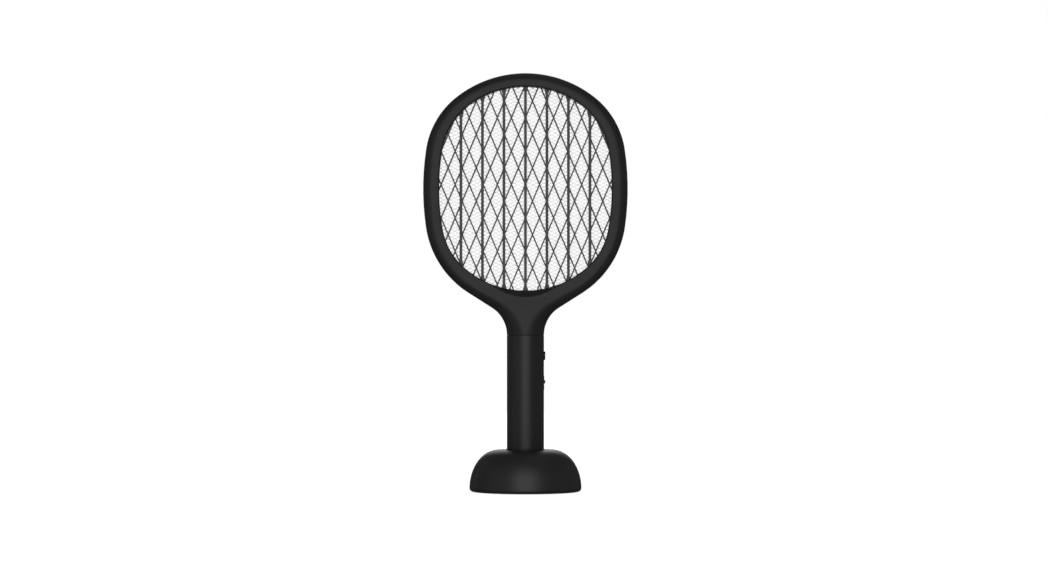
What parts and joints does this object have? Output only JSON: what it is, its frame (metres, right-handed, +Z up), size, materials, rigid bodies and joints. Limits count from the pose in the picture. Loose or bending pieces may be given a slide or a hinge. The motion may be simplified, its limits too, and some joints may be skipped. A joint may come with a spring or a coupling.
{
  "type": "electric fly swatter",
  "caption": "Rechargeable racket-shaped electric fly swatter with a three-layer grid, standing upright in a round dome-shaped charging base",
  "frame": {"origin": "on the table, at the centre of the round base", "axes": "+Z up along the handle, the swatter's face looks along -Y, the button and switch are on the +X side"},
  "size_m": [0.2122, 0.1162, 0.4343],
  "materials": {
    "frame_plastic": "fine satin moulded texture, near black",
    "handle_plastic": "fine satin moulded texture, near black",
    "guard_plastic": "dark grey moulded guard bars",
    "grille_steel": "black coated expanded steel",
    "grid_aluminium": "bright bare expanded sheet",
    "spacer_plastic": "plain moulded",
    "screw_steel": "zinc plated",
    "spring_steel": "nickel plated wire and strip",
    "lead_insulation": "red insulated leads",
    "cell_wrap": "blue shrink wrap",
    "board_green": "solder mask",
    "transformer_tape": "yellow winding tape",
    "capacitor_coat": "dipped resin",
    "component_black": "moulded component bodies",
    "switch_metal": "tinned switch and socket shells",
    "control_plastic": "black, finely textured",
    "plunger_plastic": "off-white switch lever and plunger",
    "light_pipe": "clear light guide",
    "contact_brass": "gold-coloured plated contacts",
    "base_plastic": "satin moulded, near black",
    "ballast_steel": "plain steel weight",
    "pad_rubber": "soft anti-slip pad"
  },
  "bodies": {
    "base": {"base_shell": "base_plastic", "base_plate": "base_plastic", "socket_cup": "base_plastic", "pin_housing": "spacer_plastic", "charge_board": "board_green", "charge_port": "switch_metal", "ballast_ring": "ballast_steel", "foot_pad": "pad_rubber", "base_screws": "screw_steel", "left_pin_spring": "spring_steel", "right_pin_spring": "spring_steel"},
    "swatter": {"front_frame": "frame_plastic", "rear_frame": "frame_plastic", "front_rib_guard": "guard_plastic", "rear_rib_guard": "guard_plastic", "front_grille": "grille_steel", "rear_grille": "grille_steel", "hv_grid": "grid_aluminium", "front_spacer": "spacer_plastic", "rear_spacer": "spacer_plastic", "frame_screws": "screw_steel", "neck_spigot": "spacer_plastic", "grid_leads": "lead_insulation", "handle_tube": "handle_plastic", "handle_chassis": "spacer_plastic", "battery_cell": "cell_wrap", "battery_spring": "spring_steel", "battery_contact": "spring_steel", "main_board": "board_green", "hv_transformer": "transformer_tape", "hv_capacitors": "capacitor_coat", "hv_diodes": "component_black", "drive_transistor": "component_black", "push_switch": "switch_metal", "slide_switch": "switch_metal", "switch_plate": "control_plastic", "light_pipe": "light_pipe", "end_cap": "handle_plastic", "contact_pads": "contact_brass", "cap_screws": "screw_steel"},
    "trigger": {"trigger_button": "control_plastic", "switch_plunger": "plunger_plastic"},
    "slider": {"mode_slider": "control_plastic", "switch_lever": "plunger_plastic"},
    "pin_left": {"left_pin": "contact_brass"},
    "pin_right": {"right_pin": "contact_brass"}
  },
  "joints": [
    {"name": "swatter_lift", "type": "slide", "parent": "base", "child": "swatter", "axis": [0, 0, 1], "range_m": [0, 0.05]},
    {"name": "trigger_press", "type": "slide", "parent": "swatter", "child": "trigger", "axis": [-1, 0, 0], "range_m": [0, 0.001], "stiffness_N_per_m": 400},
    {"name": "switch_slide", "type": "slide", "parent": "swatter", "child": "slider", "axis": [0, 0, 1], "range_m": [-0.0025, 0]},
    {"name": "left_pin_press", "type": "slide", "parent": "base", "child": "pin_left", "axis": [0, 0, -1], "range_m": [0, 0.001], "stiffness_N_per_m": 150, "deforming": ["left_pin_spring"]},
    {"name": "right_pin_press", "type": "slide", "parent": "base", "child": "pin_right", "axis": [0, 0, -1], "range_m": [0, 0.001], "stiffness_N_per_m": 150, "deforming": ["right_pin_spring"]}
  ]
}
